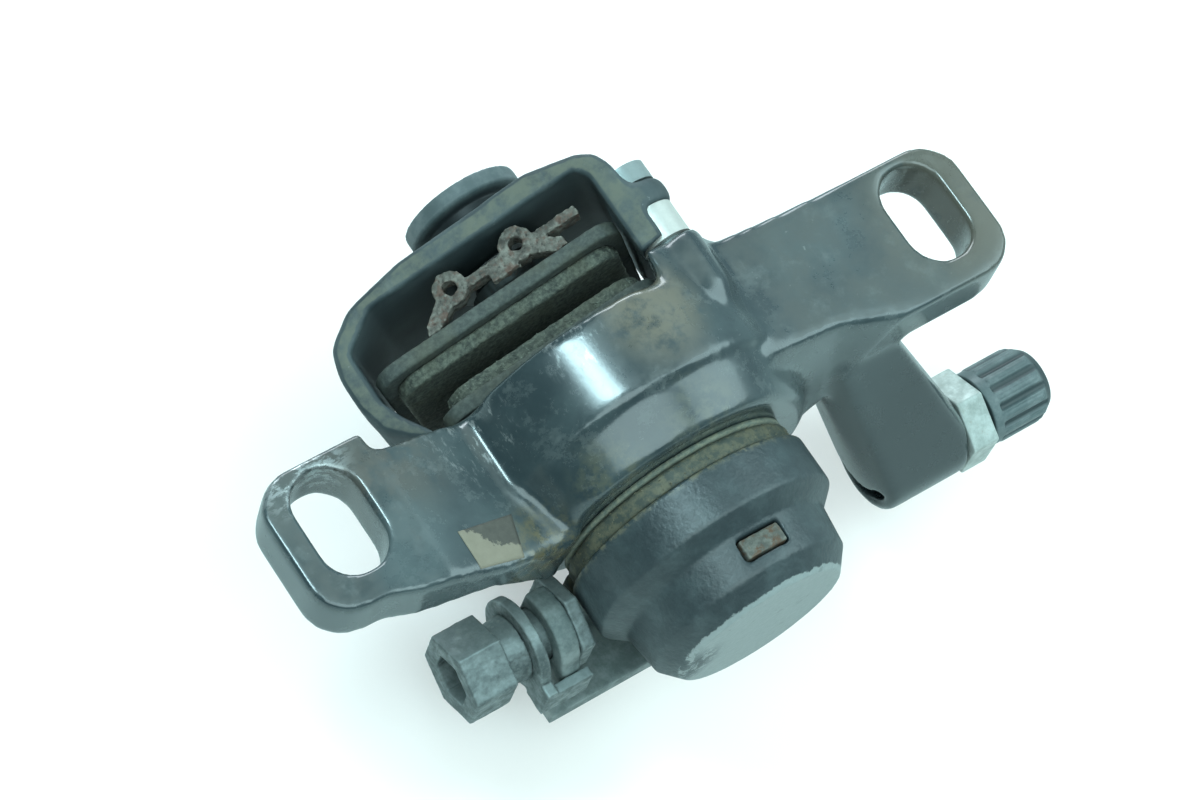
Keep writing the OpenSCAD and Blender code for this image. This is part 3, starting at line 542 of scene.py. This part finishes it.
nodeLooks = {
    "inner_bracket": castPaint(
        "bracketPaint", flat=(-0.375, 0, 0.927), filmTone=(0.122, 0.138, 0.108), filmMm=2.4,
        rimWear=0.3, dullness=0.30, cover=0.03,
    ),
    # The dial is painted near-black under its flange, a painted shade.
    "adjuster_knob": dustyPlastic(
        "dialPlastic", dark=(0.072, 0.102, 0.107), light=(0.125, 0.160, 0.164), rough=0.5,
        dustBand=(0.40, 0.74), raised=dialFlange, recessShade=(0.010, 0.015, 0.017),
    ),
    "lever_arm": hubSteel(),
    # The grip is painted dark between its ribs, a painted shade.
    "barrel_knob": dustyPlastic(
        "ribbedPlastic", dark=(0.085, 0.125, 0.130), light=(0.17, 0.22, 0.225), rough=0.42,
        dustBand=(0.40, 0.76), raised=gripCrown, recessShade=(0.030, 0.048, 0.052),
    ),
    "barrel_lock_nut": wornMetal(
        "brightZinc", dark=(0.31, 0.37, 0.35), light=(0.48, 0.56, 0.54), rough=0.36,
        rust=0.2, metallic=0.3, grainMm=2.0, stain=(0.30, 0.27, 0.21),
    ),
    "adjuster_anvil": wornMetal(
        "anvilSteel", dark=(0.020, 0.026, 0.026), light=(0.050, 0.060, 0.058), rough=0.55,
        rust=0.4, metallic=0.2,
    ),
    "bracket_spacer": wornMetal(
        "brightSleeve", dark=(0.34, 0.36, 0.34), light=(0.52, 0.53, 0.50), rough=0.38, metallic=0.6,
    ),
    "cap_retainer": wornMetal(
        "tabSteel", dark=(0.075, 0.082, 0.072), light=(0.14, 0.15, 0.13), rough=0.5,
        rust=0.7, metallic=0.2, grainMm=0.9, stain=(0.10, 0.055, 0.030),
    ),
}
slotOf = {row["node"]: row["material_slot"] for row in frame["record"]["subparts"]}
bodyOf = {n: b for b, ns in frame["record"]["behaviour"]["bodies"].items() for n in ns}
lookOf = {n: nodeLooks.get(n, looks[slotOf[n]]) for n in slotOf}
for name, node in frame["nodes"].items():
    for index in range(len(node.data.materials)):
        node.data.materials[index] = lookOf[name]
print("stage: materials made")


# Turns an object's modifiers into its mesh.
def settle(obj):
    bpy.context.view_layer.update()
    shape = bpy.data.meshes.new_from_object(obj.evaluated_get(bpy.context.evaluated_depsgraph_get()))
    obj.modifiers.clear()
    old = obj.data
    obj.data = shape
    bpy.data.meshes.remove(old)


def dress(obj, look, body):
    obj.data.materials.clear()
    obj.data.materials.append(look)
    obj.data.polygons.foreach_set("use_smooth", [True] * len(obj.data.polygons))
    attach(obj, body)


castRule = {"weldMm": 0.002, "smoothing": 0.5}
pits = {"rough": 0.8, "step": 2.0, "octaves": 3}
castings = {
    "castBody": {"node": "caliper_body", "voxelMm": 0.4, "passes": 18},
    "castBracket": {"node": "inner_bracket", "voxelMm": 0.32, "passes": 12},
    "mouldedCap": {"node": "actuator_cap", "voxelMm": 0.24, "passes": 4},
    "formedLever": {"node": "lever_arm", "voxelMm": 0.3, "passes": 4},
    "fixedPlate": {"node": "fixed_pad_backing", "voxelMm": 0.24, "passes": 5, "pitMm": 0.03},
    "fixedStone": {"node": "fixed_pad_lining", "voxelMm": 0.24, "passes": 4, "pitMm": 0.08},
    "movingPlate": {"node": "moving_pad_backing", "voxelMm": 0.24, "passes": 5, "pitMm": 0.03},
    "movingStone": {"node": "moving_pad_lining", "voxelMm": 0.24, "passes": 4, "pitMm": 0.08},
    "clipStrip": {
        "node": "pad_spring_clip", "voxelMm": 0.12, "passes": 5, "pitMm": 0.16, "pitSizeMm": 0.9,
    },
    "adjusterDial": {"node": "adjuster_knob", "voxelMm": 0.2, "passes": 7},
    "anchorHead": {"node": "anchor_bolt", "voxelMm": 0.16, "passes": 9, "pitMm": 0.04},
    "anchorCone": {"node": "anchor_collar", "voxelMm": 0.14, "passes": 5, "pitMm": 0.04},
    "pinchPlate": {"node": "pinch_washer", "voxelMm": 0.16, "passes": 6, "pitMm": 0.04},
    "anchorBacking": {"node": "anchor_nut", "voxelMm": 0.16, "passes": 5, "pitMm": 0.04},
    "stopNut": {"node": "barrel_lock_nut", "voxelMm": 0.16, "passes": 9},
    "barrelGrip": {"node": "barrel_knob", "voxelMm": 0.11, "passes": 5},
    "capTabs": {"node": "cap_retainer", "voxelMm": 0.2, "passes": 3, "pitMm": 0.05},
}


def smoothing(obj, passes):
    smooth = obj.modifiers.new("smooth", "SMOOTH")
    smooth.factor = castRule["smoothing"]
    smooth.iterations = passes
    return smooth


def pitted(vertex, pitMm, pitSizeMm):
    depth = noise.fractal(vertex.co / (pitSizeMm * mm), pits["rough"], pits["step"], pits["octaves"])
    return vertex.co + vertex.normal * (depth * pitMm * mm)


# A finely meshed copy of a CAD node with its edges rounded over, and pitted where asked.
def castCopy(node, name, voxelMm, passes, pitMm=0.0, pitSizeMm=1.0):
    obj = bpy.data.objects.new(name, frame["nodes"][node].data.copy())
    scene.collection.objects.link(obj)
    weld = obj.modifiers.new("weld", "WELD")
    weld.merge_threshold = castRule["weldMm"] * mm
    remesh = obj.modifiers.new("remesh", "REMESH")
    remesh.mode = "VOXEL"
    remesh.voxel_size = voxelMm * mm
    smoothing(obj, passes)
    settle(obj)
    if pitMm:
        moved = [pitted(vertex, pitMm, pitSizeMm) for vertex in obj.data.vertices]
        obj.data.vertices.foreach_set("co", [c for v in moved for c in v])
        obj.data.update()
    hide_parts(node)
    dress(obj, lookOf[node], bodyOf[node])
    print("casting", name, len(obj.data.polygons))
    return obj


def soften(obj, weightOf, passes):
    group = obj.vertex_groups.new(name="soft")
    for vertex in obj.data.vertices:
        weight = max(0.0, min(1.0, weightOf(vertex)))
        if weight > 0:
            group.add([vertex.index], weight, "REPLACE")
    smoothing(obj, passes).vertex_group = group.name
    settle(obj)
    obj.vertex_groups.clear()


# Spots of the body that are smoothed further. The last four follow the valley beside the left arm.
softBody = {
    "passes": 60,
    "fade": 2.0,
    "spots": [
        {"at": (4.8, 7.6, 12.9), "reach": 5.5},
        {"at": (-18.1, 3.0, 2.7), "reach": 3.6},
        {"at": (-18.0, -1.0, 2.8), "reach": 4.4},
        {"at": (-17.2, -5.5, 2.8), "reach": 5.2},
        {"at": (-15.9, -9.5, 2.3), "reach": 5.2},
    ],
}


def bodyWeight(vertex):
    spots = softBody["spots"]
    fars = [(vertex.co - Vector(spot["at"]) * mm).length / (spot["reach"] * mm) for spot in spots]
    return softBody["fade"] - softBody["fade"] * min(fars)


# The bracket is softened where its wall faces away from its middle.
softRim = {
    "passes": 70,
    "gain": 1.5,
    "middle": (-4.0, 12.0, -4.0),
    "axis": (-0.375, 0.0, 0.927),
}


def outerWeight(vertex):
    axis = Vector(softRim["axis"])
    out = vertex.co - Vector(softRim["middle"]) * mm
    out = (out - axis * out.dot(axis)).normalized()
    return softRim["gain"] * vertex.normal.dot(out)


# The dial narrows to a neck below its flange. All sizes are in mm.
dialNeck = {
    "middle": (-1.6126, 0.0, -6.2495),
    "low": 26.9,
    "high": 27.4,
    "shaft": 4.05,
    "neck": 5.3,
    "flange": 6.9,
}


def undercut(obj):
    shaft = dialNeck["shaft"]
    narrow = (dialNeck["neck"] - shaft) / (dialNeck["flange"] - shaft)
    for vertex in obj.data.vertices:
        out = vertex.co - Vector(dialNeck["middle"]) * mm
        level = (out.y / mm - dialNeck["low"]) / (dialNeck["high"] - dialNeck["low"])
        far = math.hypot(out.x, out.z) / mm
        if level < 1 and far > shaft:
            share = narrow + (1 - narrow) * max(0.0, level)
            wanted = shaft + (far - shaft) * share
            vertex.co.x -= out.x * (1 - wanted / far)
            vertex.co.z -= out.z * (1 - wanted / far)
    obj.data.update()


cast = {name: castCopy(name=name, **job) for name, job in castings.items()}
soften(cast["castBody"], bodyWeight, softBody["passes"])
soften(cast["castBracket"], outerWeight, softRim["passes"])
undercut(cast["adjusterDial"])
print("stage: castings made")


class Rule:
    def __init__(self, name, look, inputs):
        self.name = name
        self.look = look
        self.tree = bpy.data.node_groups.new(name, "GeometryNodeTree")
        self.values = {}
        self.tree.interface.new_socket("Geometry", in_out="INPUT", socket_type="NodeSocketGeometry")
        for label, value in inputs.items():
            kind = "NodeSocketInt" if isinstance(value, int) else "NodeSocketFloat"
            socket = self.tree.interface.new_socket(label, in_out="INPUT", socket_type=kind)
            self.values[socket.identifier] = value
        self.tree.interface.new_socket("Geometry", in_out="OUTPUT", socket_type="NodeSocketGeometry")
        self.given = self.tree.nodes.new("NodeGroupInput").outputs

    def add(self, kind, links=None, **settings):
        node = self.tree.nodes.new(kind)
        for key, value in settings.items():
            setattr(node, key, value)
        for key, value in (links or {}).items():
            if isinstance(value, bpy.types.NodeSocket):
                self.tree.links.new(value, node.inputs[key])
            else:
                node.inputs[key].default_value = value
        return node.outputs

    def math(self, operation, a, b=0.0):
        return self.add("ShaderNodeMath", {0: a, 1: b}, operation=operation)[0]

    def randomVector(self, low, high, seed):
        links = {0: (low, low, low), 1: (high, high, high), "Seed": seed}
        return self.add("FunctionNodeRandomValue", links, data_type="FLOAT_VECTOR")[0]

    def moved(self, geometry, rotation, place=(0, 0, 0)):
        links = {"Geometry": geometry, "Rotation": rotation, "Translation": place}
        return self.add("GeometryNodeTransform", links)[0]

    def swept(self, path, section, caps):
        links = {"Curve": path, "Profile Curve": section, "Fill Caps": caps}
        return self.add("GeometryNodeCurveToMesh", links)[0]

    def build(self, geometry, body, base=None, replaced=None):
        real = self.add("GeometryNodeRealizeInstances", {"Geometry": geometry})[0]
        shown = self.add("GeometryNodeSetMaterial", {"Geometry": real, "Material": self.look})[0]
        end = self.tree.nodes.new("NodeGroupOutput")
        self.tree.links.new(shown, end.inputs[0])
        mesh = base.copy() if base else bpy.data.meshes.new(self.name)
        obj = bpy.data.objects.new(self.name, mesh)
        scene.collection.objects.link(obj)
        rule = obj.modifiers.new(self.name, "NODES")
        rule.node_group = self.tree
        for identifier, value in self.values.items():
            rule[identifier] = value
        settle(obj)
        if replaced:
            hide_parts(replaced)
        dress(obj, self.look, body)
        print("rule", self.name, len(obj.data.polygons))


coil = {
    "inputs": {"Turns": 3.0, "Radius": 7.54 * mm, "Pitch": 2.1 * mm, "Wire": 0.75 * mm},
    "place": (spindleX, -14.45 * mm, spindleZ),
    "steps": 40,
    "sides": 14,
}
springRule = Rule("springCoil", lookOf["return_spring"], coil["inputs"])
given = springRule.given
spiral = springRule.add("GeometryNodeCurveSpiral", {
    "Resolution": coil["steps"],
    "Rotations": given["Turns"],
    "Start Radius": given["Radius"],
    "End Radius": given["Radius"],
    "Height": springRule.math("MULTIPLY", given["Turns"], given["Pitch"]),
})[0]
wire = springRule.add("GeometryNodeCurvePrimitiveCircle", {
    "Resolution": coil["sides"], "Radius": given["Wire"],
})[0]
tube = springRule.swept(spiral, wire, caps=True)
turned = springRule.moved(tube, (quarterTurn, 0, 0), coil["place"])
springRule.build(turned, "lever", replaced="return_spring")

ribs = {
    "inputs": {"Ribs": 12, "Circle": 4.0 * mm, "Width": 0.62 * mm, "Length": 6.4 * mm},
    "place": (46.7 * mm, barrelY, barrelZ),
    "sides": 16,
    "rings": 6,
    "rounding": 1,
    "phase": math.radians(15),
}
ribRule = Rule("gripRibs", lookOf["barrel_knob"], ribs["inputs"])
given = ribRule.given
ringPoints = ribRule.add("GeometryNodeMeshCircle", {
    "Vertices": given["Ribs"], "Radius": given["Circle"],
})[0]
bar = ribRule.add("GeometryNodeMeshCylinder", {
    "Vertices": ribs["sides"],
    "Side Segments": ribs["rings"],
    "Radius": given["Width"],
    "Depth": given["Length"],
})[0]
softBar = ribRule.add("GeometryNodeSubdivisionSurface", {0: bar, 1: ribs["rounding"]})[0]
crown = ribRule.add("GeometryNodeInstanceOnPoints", {"Points": ringPoints, "Instance": softBar})[0]
phased = ribRule.moved(crown, (0, 0, ribs["phase"]))
stood = ribRule.moved(phased, (0, quarterTurn, 0), ribs["place"])
ribRule.build(stood, "barrel_knob")

lip = {
    "inputs": {"Middle": 10.25 * mm, "Across": 6.5 * mm, "Thickness": 0.5 * mm},
    "place": (spindleX, -10.99 * mm, spindleZ),
    "steps": 160,
    "look": padStone("grooveDirt", (0.115, 0.150, 0.130), (0.24, 0.26, 0.19), strength=0.5),
}
lipRule = Rule("sealLip", lip["look"], lip["inputs"])
given = lipRule.given
lipPath = lipRule.add("GeometryNodeCurvePrimitiveCircle", {
    "Resolution": lip["steps"], "Radius": given["Middle"],
})[0]
lipSection = lipRule.add("GeometryNodeCurvePrimitiveQuadrilateral", {
    "Width": given["Across"], "Height": given["Thickness"],
})[0]
lipBand = lipRule.swept(lipPath, lipSection, caps=False)
lipTurned = lipRule.moved(lipBand, (quarterTurn, 0, 0), lip["place"])
lipRule.build(lipTurned, "caliper", replaced="dust_seal")


# Grit sits on the edges of the linings, and on the lever's hub in the groove under the cap.
edge = {"flattest": 0.5}
groove = {"innerMm": 13.3, "outerMm": 13.9, "aboveMm": 2.0}
scatter = {"facets": 2, "smallest": 0.35, "fullTurn": 6.28, "turnSeed": 3, "sizeSeed": 5}


def edgeOnly(rule):
    normal = rule.add("GeometryNodeInputNormal")[0]
    flat = rule.math("ABSOLUTE", rule.add("ShaderNodeSeparateXYZ", {0: normal})["Y"])
    links = {0: flat, 1: edge["flattest"]}
    return rule.add("FunctionNodeCompare", links, data_type="FLOAT", operation="LESS_THAN")[0]


def grooveOnly(rule):
    place = rule.add("ShaderNodeSeparateXYZ", {0: rule.add("GeometryNodeInputPosition")[0]})
    across = rule.math("SUBTRACT", place["X"], spindleX)
    height = rule.math("SUBTRACT", place["Z"], spindleZ)
    squares = [rule.math("MULTIPLY", far, far) for far in (across, height)]
    reach = rule.math("SQRT", rule.math("ADD", *squares))
    outside = rule.math("GREATER_THAN", reach, groove["innerMm"] * mm)
    inside = rule.math("LESS_THAN", reach, groove["outerMm"] * mm)
    above = rule.math("GREATER_THAN", height, groove["aboveMm"] * mm)
    return rule.math("MULTIPLY", rule.math("MULTIPLY", outside, inside), above)


def grains(name, base, node, look, inputs, limit):
    rule = Rule(name, look, inputs)
    given = rule.given
    points = rule.add("GeometryNodeDistributePointsOnFaces", {
        "Mesh": given["Geometry"],
        "Density": given["Density"],
        "Seed": given["Seed"],
        "Selection": limit(rule),
    })[0]
    grain = rule.add("GeometryNodeMeshIcoSphere", {
        "Radius": given["Size"], "Subdivisions": scatter["facets"],
    })[0]
    scattered = rule.add("GeometryNodeInstanceOnPoints", {
        "Points": points,
        "Instance": grain,
        "Rotation": rule.randomVector(0, scatter["fullTurn"], scatter["turnSeed"]),
        "Scale": rule.randomVector(scatter["smallest"], 1, scatter["sizeSeed"]),
    })[0]
    rule.build(scattered, bodyOf[node], base=cast[base].data)


grit = {
    "fixedGrit": {
        "base": "fixedStone",
        "node": "fixed_pad_lining",
        "look": padStone("fixedGrain", (0.05, 0.06, 0.05), (0.14, 0.16, 0.13), strength=0.3),
        "inputs": {"Density": 2.5e6, "Size": 0.12 * mm, "Seed": 4},
        "limit": edgeOnly,
    },
    "movingGrit": {
        "base": "movingStone",
        "node": "moving_pad_lining",
        "look": padStone("movingGrain", (0.060, 0.074, 0.064), (0.17, 0.20, 0.165), strength=0.3),
        "inputs": {"Density": 3.5e6, "Size": 0.14 * mm, "Seed": 9},
        "limit": edgeOnly,
    },
    "grooveGrit": {
        "base": "formedLever",
        "node": "lever_arm",
        "look": padStone("grooveGrain", (0.07, 0.07, 0.045), (0.17, 0.165, 0.115), strength=0.3),
        "inputs": {"Density": 1.4e6, "Size": 0.12 * mm, "Seed": 2},
        "limit": grooveOnly,
    },
}
for name, job in grit.items():
    grains(name, **job)
print("stage: rule pieces made")

# The scrap of paper is a grid between four corners, laid on the skin of the cast body.
label = {
    "corners": [(-27.1, -6.5, 5.7), (-20.3, -6.8, 3.2), (-21.9, -11.6, 3.8), (-27.2, -11.0, 5.6)],
    "steps": (18, 14),
    "liftMm": 0.06,
    "thickMm": 0.05,
}
bodyMesh = cast["castBody"].data
skin = BVHTree.FromPolygons([v.co for v in bodyMesh.vertices], [p.vertices for p in bodyMesh.polygons])
across, down = label["steps"]
quad = [Vector(c) * mm for c in label["corners"]]
labelPoints = []
for j in range(down + 1):
    for i in range(across + 1):
        u, v = i / across, j / down
        guess = quad[0].lerp(quad[1], u).lerp(quad[3].lerp(quad[2], u), v)
        spot, normal = skin.find_nearest(guess)[:2]
        labelPoints.append(spot + normal * label["liftMm"] * mm)
labelFaces = []
for j in range(down):
    for i in range(across):
        a = j * (across + 1) + i
        labelFaces.append((a, a + across + 1, a + across + 2, a + 1))
labelMesh = bpy.data.meshes.new("labelScrap")
labelMesh.from_pydata(labelPoints, [], labelFaces)
labelObject = bpy.data.objects.new("labelScrap", labelMesh)
scene.collection.objects.link(labelObject)
thick = labelObject.modifiers.new("thick", "SOLIDIFY")
thick.thickness = label["thickMm"] * mm
settle(labelObject)
dress(labelObject, paperLabel(), "caliper")
print("stage: label made")

# The floor lies below the reach of the lever's full swing, and looks darker in mirrored rays.
studio = {
    "level": -37.4 * mm,
    "half": 900 * mm,
    "mottle": {"sizeMm": 60, "detail": 3},
    "tones": ((0.96, 0.885, 0.86), (0.98, 0.90, 0.875)),
    "mirrorTone": (0.42, 0.48, 0.47),
    "rough": 0.9,
}
corners = [(x * studio["half"], y * studio["half"], studio["level"]) for x, y in (
    (-1, -1), (1, -1), (1, 1), (-1, 1),
)]
floorMesh = bpy.data.meshes.new("floor")
floorMesh.from_pydata(corners, [], [(0, 1, 2, 3)])
floorObject = bpy.data.objects.new("floor", floorMesh)
scene.collection.objects.link(floorObject)
floorLook = Shader("floorPaper")
paper = floorLook.mix(floorLook.noise(**studio["mottle"]), *studio["tones"])
mirrored = floorLook.add("ShaderNodeLightPath").outputs["Is Glossy Ray"]
floorLook.set(Base_Color=floorLook.mix(mirrored, paper, studio["mirrorTone"]))
floorLook.set(Roughness=studio["rough"])
floorMesh.materials.append(floorLook.material)

# Every lamp is aimed at the origin.
lamps = {
    "windowPanel": {
        "place": (-0.21, 0.16, 0.54), "size": (0.085, 0.20), "watts": 1.5, "tint": (0.62, 0.92, 0.98),
    },
    "rightPanel": {
        "place": (0.48, -0.16, 0.50), "size": (0.6, 0.5), "watts": 2.6, "tint": (0.70, 0.95, 0.97),
    },
    "frontPanel": {
        "place": (-0.14, -0.22, 0.50), "size": (0.5, 0.4), "watts": 1.8, "tint": (0.71, 0.95, 0.97),
    },
    "farPanel": {
        "place": (0.25, 0.65, 0.30), "size": (0.5, 0.25), "watts": 2.5, "tint": (0.85, 0.95, 1.0),
    },
}
for name, job in lamps.items():
    lampData = bpy.data.lights.new(name, "AREA")
    lampData.shape = "RECTANGLE"
    lampData.size, lampData.size_y = job["size"]
    lampData.energy = job["watts"]
    lampData.color = job["tint"]
    lampObject = bpy.data.objects.new(name, lampData)
    lampObject.location = job["place"]
    lampObject.rotation_euler = (-Vector(job["place"])).to_track_quat("-Z", "Y").to_euler()
    scene.collection.objects.link(lampObject)

# The air is one tone, except that mirrored rays see it fade from a bright side to a dark one.
air = {
    "tone": (0.79, 0.96, 0.97, 1),
    "strength": 0.70,
    "brightSide": (0.9, 0.3, 0.3),
    "fadeFrom": -0.3,
    "mirrorDark": (0.04, 0.075, 0.085, 1),
    "mirrorBright": (0.42, 0.62, 0.66, 1),
}
world = bpy.data.worlds.new("world")
scene.world = world
world.use_nodes = True
nodes = world.node_tree.nodes
links = world.node_tree.links
background = nodes["Background"]
rays = nodes.new("ShaderNodeLightPath")
direction = nodes.new("ShaderNodeTexCoord").outputs["Generated"]
side = nodes.new("ShaderNodeVectorMath")
side.operation = "DOT_PRODUCT"
side.inputs[1].default_value = air["brightSide"]
fade = nodes.new("ShaderNodeMapRange")
fade.inputs["From Min"].default_value = air["fadeFrom"]
mirror = nodes.new("ShaderNodeMix")
mirror.data_type = "RGBA"
mirror.inputs[6].default_value = air["mirrorDark"]
mirror.inputs[7].default_value = air["mirrorBright"]
choice = nodes.new("ShaderNodeMix")
choice.data_type = "RGBA"
choice.inputs[6].default_value = air["tone"]
links.new(direction, side.inputs[0])
links.new(side.outputs["Value"], fade.inputs["Value"])
links.new(fade.outputs["Result"], mirror.inputs[0])
links.new(mirror.outputs[2], choice.inputs[7])
links.new(rays.outputs["Is Glossy Ray"], choice.inputs[0])
links.new(choice.outputs[2], background.inputs["Color"])
background.inputs["Strength"].default_value = air["strength"]
print("stage: studio made")
